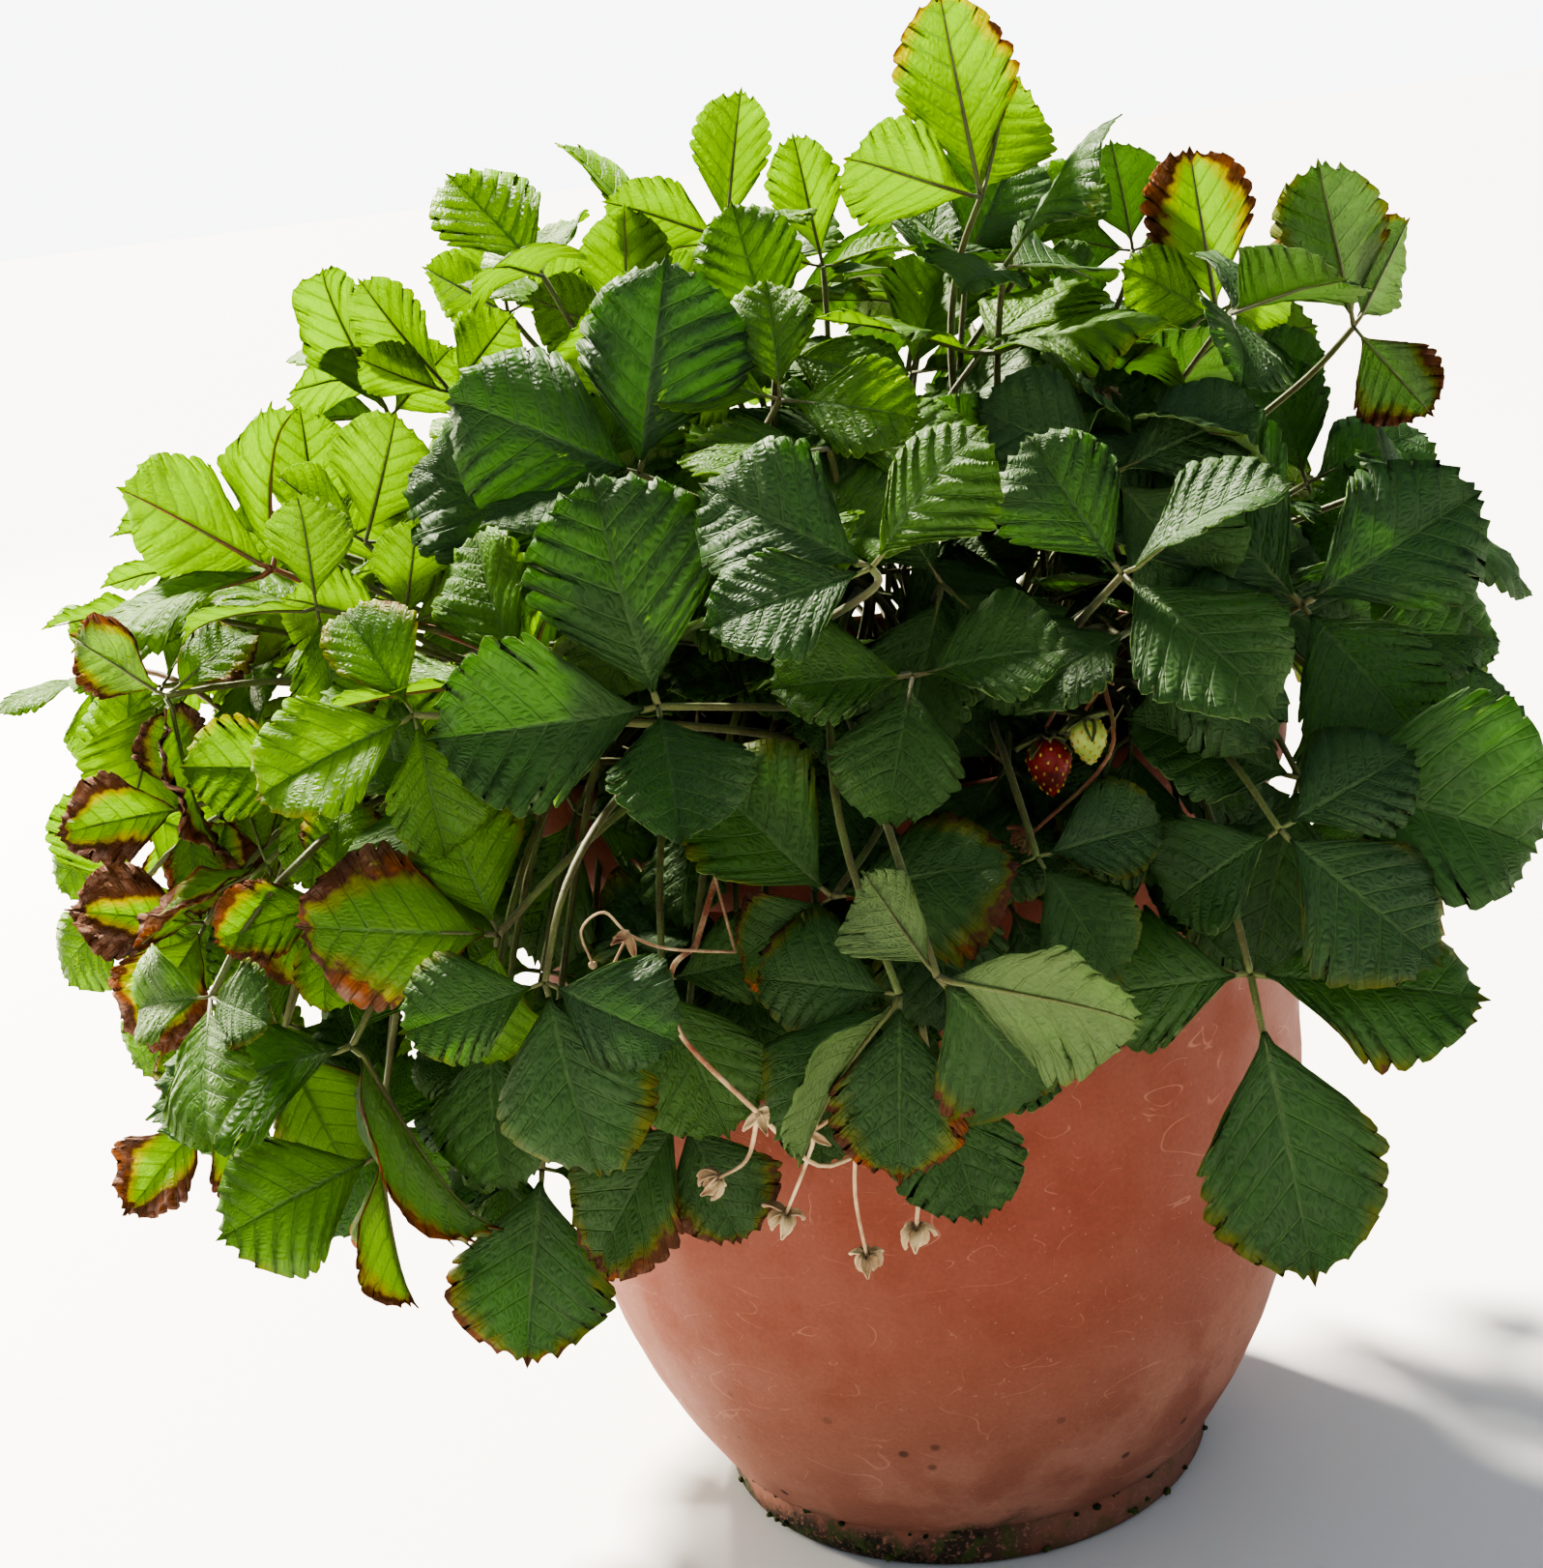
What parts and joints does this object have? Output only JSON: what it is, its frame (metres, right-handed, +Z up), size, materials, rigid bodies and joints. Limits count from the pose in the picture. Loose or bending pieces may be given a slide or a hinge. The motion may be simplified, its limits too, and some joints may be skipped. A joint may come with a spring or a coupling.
{
  "type": "potted strawberry plant",
  "caption": "Bushy strawberry plant with toothed three-part leaves, dried fruit stalks and berries, growing in a round terracotta pot with a rolled rim.",
  "frame": {"origin": "centre of the pot's flat base, on the surface it stands on", "axes": "+Z up along the pot's turning axis, -Y towards the side seen from the front, +X to the right seen from the front"},
  "size_m": [0.5259, 0.4763, 0.5066],
  "materials": {
    "clay": "matt weathered terracotta",
    "soil": "moist dark potting soil",
    "crown": "rough brown",
    "leaf": "satin leaf with pale veins",
    "dry_stalk": "dry straw",
    "unripe_berry": "satin",
    "ripe_berry": "satin"
  },
  "bodies": {
    "root": {"arched_stalk": "dry_stalk", "berry_green": "unripe_berry", "berry_red": "ripe_berry", "crown_back": "crown", "crown_left": "crown", "crown_right": "crown", "dried_stalks": "dry_stalk", "dried_truss": "dry_stalk", "fruit_truss": "leaf", "leaf_back_1": "leaf", "leaf_back_2": "leaf", "leaf_back_3": "leaf", "leaf_back_4": "leaf", "leaf_back_5": "leaf", "leaf_back_6": "leaf", "leaf_back_7": "leaf", "leaf_back_8": "leaf", "leaf_front_1": "leaf", "leaf_front_2": "leaf", "leaf_front_3": "leaf", "leaf_front_4": "leaf", "leaf_front_5": "leaf", "leaf_front_6": "leaf", "leaf_front_7": "leaf", "leaf_front_8": "leaf", "leaf_left_1": "leaf", "leaf_left_2": "leaf", "leaf_left_3": "leaf", "leaf_left_4": "leaf", "leaf_left_5": "leaf", "leaf_left_6": "leaf", "leaf_left_7": "leaf", "leaf_left_8": "leaf", "leaf_left_9": "leaf", "leaf_low_1": "leaf", "leaf_low_2": "leaf", "leaf_low_3": "leaf", "leaf_low_4": "leaf", "leaf_low_5": "leaf", "leaf_low_6": "leaf", "leaf_low_7": "leaf", "leaf_low_8": "leaf", "leaf_right_1": "leaf", "leaf_right_2": "leaf", "leaf_right_3": "leaf", "leaf_right_4": "leaf", "leaf_right_5": "leaf", "leaf_right_6": "leaf", "leaf_top_1": "leaf", "leaf_top_2": "leaf", "leaf_top_3": "leaf", "leaf_top_4": "leaf", "leaf_top_5": "leaf", "leaf_top_6": "leaf", "leaf_top_7": "leaf", "pot": "clay", "right_stalk": "leaf", "runner": "leaf", "soil": "soil", "top_stalk": "dry_stalk"}
  },
  "joints": []
}
